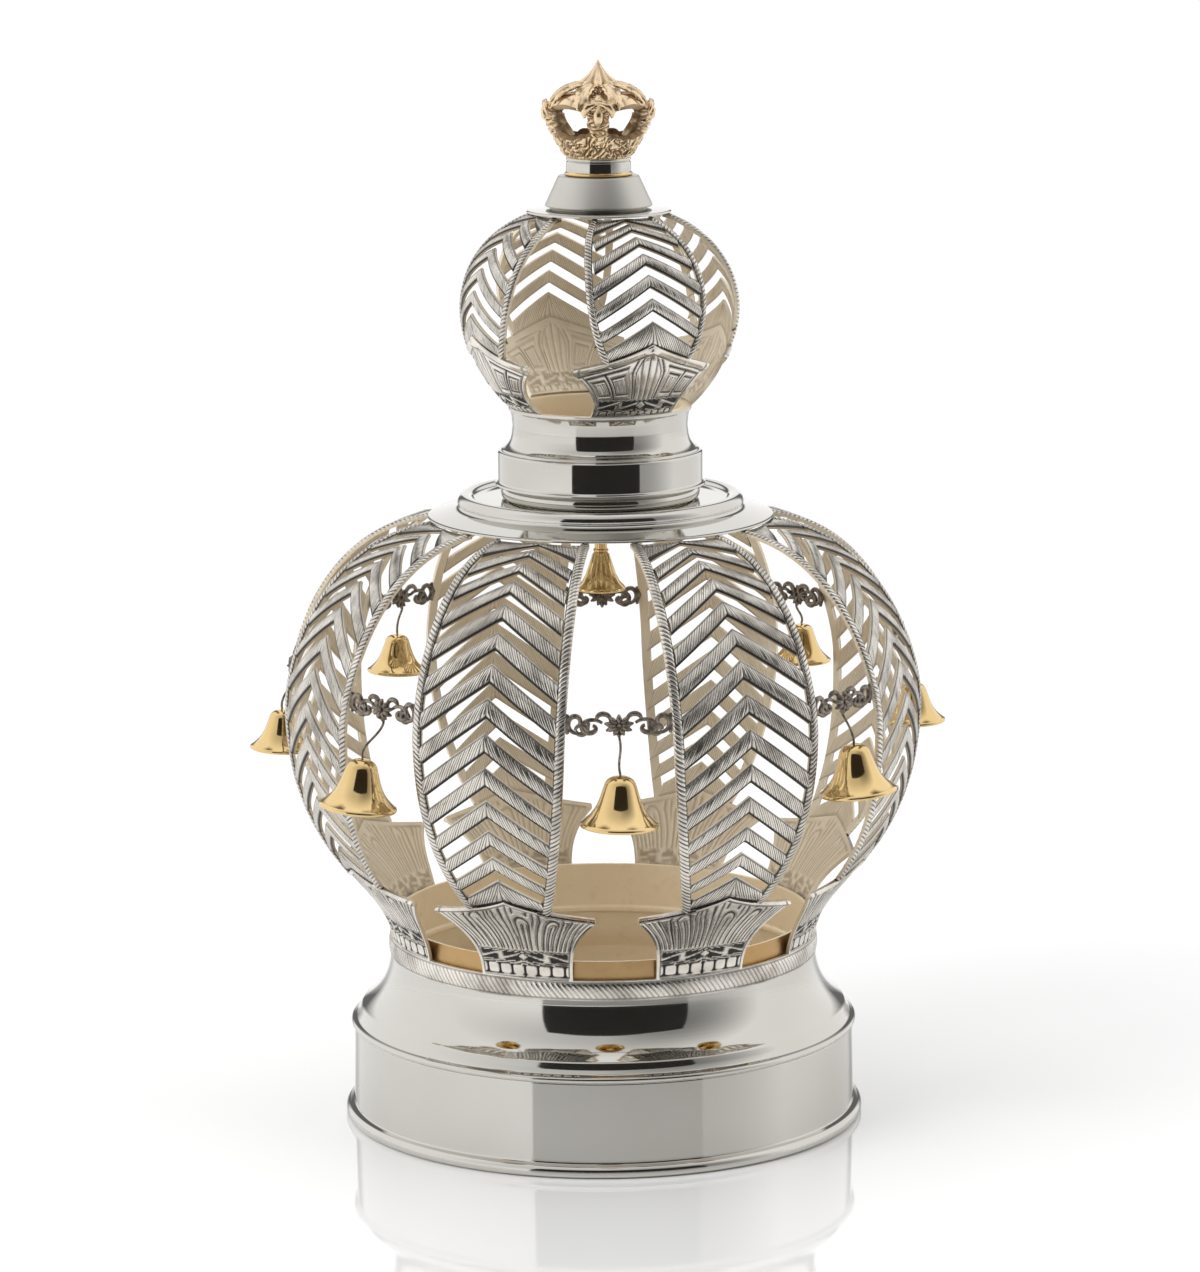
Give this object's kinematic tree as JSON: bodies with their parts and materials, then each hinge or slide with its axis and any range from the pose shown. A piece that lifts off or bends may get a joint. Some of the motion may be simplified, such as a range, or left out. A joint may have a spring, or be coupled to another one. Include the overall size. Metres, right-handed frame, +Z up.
{
  "type": "torah crown",
  "caption": "Standing silver crown for a torah scroll: turned foot, openwork feather-leaf bulbs, hanging bells and a gold crown finial.",
  "frame": {"origin": "on the floor under the middle of the outline; the crown's own axis is 9 mm behind it, along +Y", "axes": "+Z up along the crown's axis, -Y towards the front gap and its bell"},
  "size_m": [0.2411, 0.237, 0.3693],
  "materials": {
    "polished_silver": "polished silver",
    "oxidised_silver": "engraved silver with dark oxide in the cuts",
    "gilt": "satin gilding",
    "bell_brass": "polished gilt brass",
    "antique_gold": "cast and antiqued gilding"
  },
  "bodies": {
    "root": {"base": "polished_silver", "bell_1": "bell_brass", "bell_2": "bell_brass", "bell_3": "bell_brass", "bell_4": "bell_brass", "bell_6": "bell_brass", "bell_7": "bell_brass", "bell_8": "bell_brass", "bell_wire_1": "oxidised_silver", "bell_wire_2": "oxidised_silver", "bell_wire_3": "oxidised_silver", "bell_wire_4": "oxidised_silver", "bell_wire_6": "oxidised_silver", "bell_wire_7": "oxidised_silver", "bell_wire_8": "oxidised_silver", "cap": "polished_silver", "centre_bell": "bell_brass", "collar": "polished_silver", "finial_crown": "antique_gold", "finial_ring": "bell_brass", "inner_sleeve": "gilt", "leaf_1": "oxidised_silver", "leaf_2": "oxidised_silver", "leaf_3": "oxidised_silver", "leaf_4": "oxidised_silver", "leaf_5": "oxidised_silver", "leaf_6": "oxidised_silver", "leaf_7": "oxidised_silver", "leaf_8": "oxidised_silver", "rope_ring": "oxidised_silver", "scroll_bar_1": "oxidised_silver", "scroll_bar_2": "oxidised_silver", "scroll_bar_3": "oxidised_silver", "scroll_bar_4": "oxidised_silver", "scroll_bar_5": "oxidised_silver", "scroll_bar_6": "oxidised_silver", "scroll_bar_7": "oxidised_silver", "scroll_bar_8": "oxidised_silver", "shoulder_disc": "polished_silver", "small_leaf_1": "oxidised_silver", "small_leaf_2": "oxidised_silver", "small_leaf_3": "oxidised_silver", "small_leaf_4": "oxidised_silver"}
  },
  "joints": []
}
